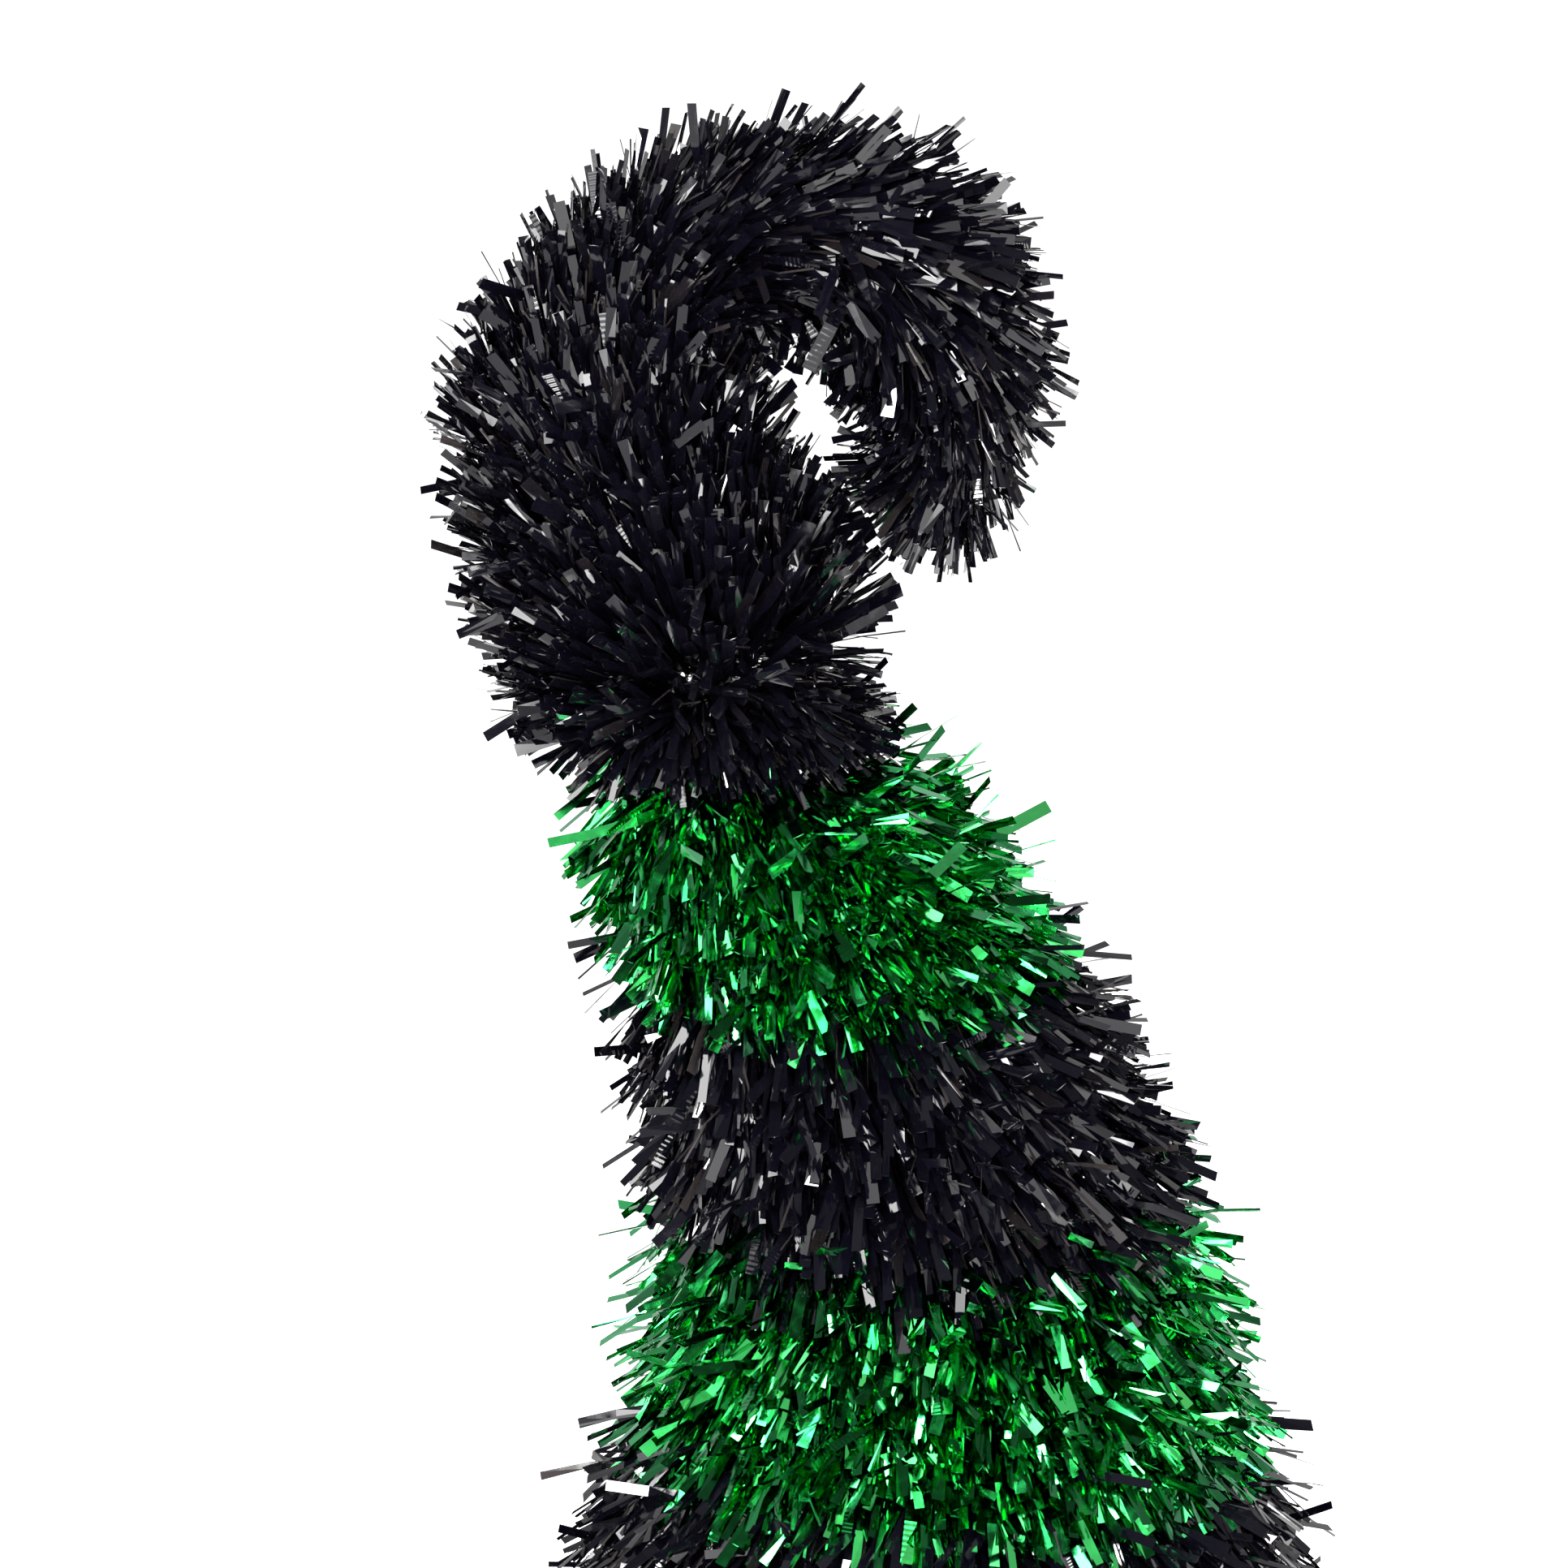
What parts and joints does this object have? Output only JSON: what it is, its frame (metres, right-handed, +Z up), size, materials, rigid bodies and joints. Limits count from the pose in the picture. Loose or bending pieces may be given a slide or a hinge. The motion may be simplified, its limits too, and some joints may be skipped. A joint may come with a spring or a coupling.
{
  "type": "curly topped tinsel cone decoration",
  "caption": "Tabletop cone wound with banded black and green tinsel garland, its bendable tip curled over into a crook, on a round board.",
  "frame": {"origin": "centre of the felt pad's underside", "axes": "+Z up; +X to the right seen from the front, the side the crook curls over to; +Y away from the front"},
  "size_m": [0.2341, 0.224, 0.424],
  "materials": {
    "felt": "matte",
    "board": "satin",
    "frame_wire": "satin",
    "spine_wire": "satin",
    "staple_steel": "satin",
    "ferrule": "satin",
    "core_wire": "satin",
    "end_cap": "matte",
    "black_film": "gloss",
    "green_film": "gloss"
  },
  "bodies": {
    "stand": {"felt_pad": "felt", "base_board": "board", "base_hoop": "frame_wire", "hoop_staples": "staple_steel", "hoop_1": "frame_wire", "hoop_2": "frame_wire", "hoop_3": "frame_wire", "hoop_4": "frame_wire", "hoop_5": "frame_wire", "rib_1": "frame_wire", "rib_2": "frame_wire", "rib_3": "frame_wire", "rib_4": "frame_wire", "rib_5": "frame_wire", "rib_6": "frame_wire", "neck_ferrule": "ferrule", "spine_wire": "spine_wire", "core_black_lower": "core_wire", "core_green_lower": "core_wire", "core_black_middle": "core_wire", "core_green_upper": "core_wire", "core_black_crook": "core_wire", "garland_ties": "staple_steel", "pile_black_lower": "black_film", "pile_green_lower": "green_film", "pile_black_middle": "black_film", "pile_green_upper": "green_film", "pile_black_collar": "black_film"},
    "neck": {"pile_black_neck": "black_film"},
    "crook": {"pile_black_crook": "black_film"},
    "tip": {"pile_black_tip": "black_film", "tip_cap": "end_cap"}
  },
  "joints": [
    {"name": "neck_bend", "type": "hinge", "parent": "stand", "child": "neck", "pos_m": [-0.058, 0, 0.282], "axis": [0, 1, 0], "range_deg": [-12, 12], "deforming": ["spine_wire", "core_black_crook"]},
    {"name": "crook_bend", "type": "hinge", "parent": "neck", "child": "crook", "pos_m": [-0.08258, 0, 0.34602], "axis": [0, 1, 0], "range_deg": [-20, 1], "deforming": ["spine_wire", "core_black_crook"]},
    {"name": "tip_bend", "type": "hinge", "parent": "crook", "child": "tip", "pos_m": [-0.02887, 0, 0.39354], "axis": [0, 1, 0], "range_deg": [-25, 1], "deforming": ["spine_wire", "core_black_crook"]}
  ]
}
